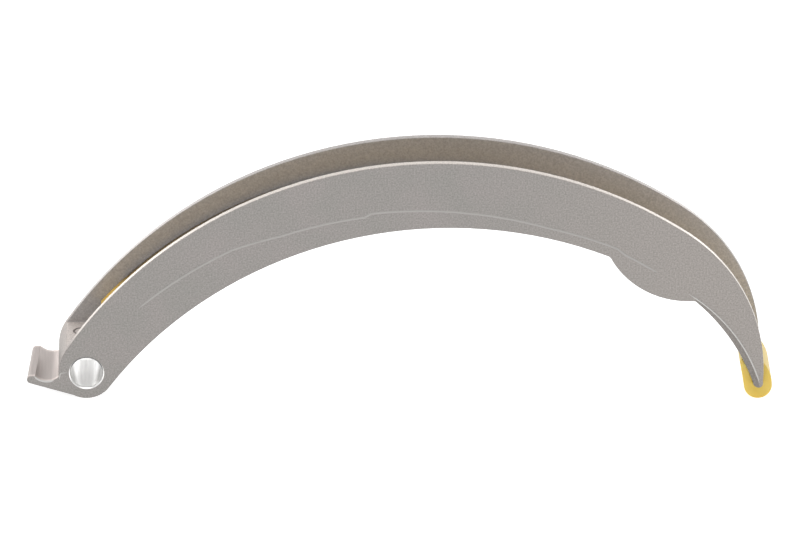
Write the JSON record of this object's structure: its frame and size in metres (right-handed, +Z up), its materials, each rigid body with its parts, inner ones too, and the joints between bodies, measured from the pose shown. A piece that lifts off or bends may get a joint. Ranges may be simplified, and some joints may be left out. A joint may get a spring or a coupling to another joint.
{
  "type": "timing chain guide",
  "caption": "Arched aluminium timing chain guide: a flanged channel with a plastic sliding lining hooked over its tip, a pivot bore, a stop lug and a rounded tensioner pad.",
  "frame": {"origin": "centre of the pivot bore, at the middle of the rail's width", "axes": "+Y along the pivot bore, +X from the pivot along the rail towards its tip, +Z up, out of the arch's convex side"},
  "size_m": [0.2335, 0.023, 0.0806],
  "materials": {
    "cast_aluminium": "die-cast and shot-blasted, fine matt grain",
    "polyamide": "injection-moulded, smooth satin"
  },
  "bodies": {
    "root": {"rail_casting": "cast_aluminium", "slide_lining": "polyamide"}
  },
  "joints": []
}
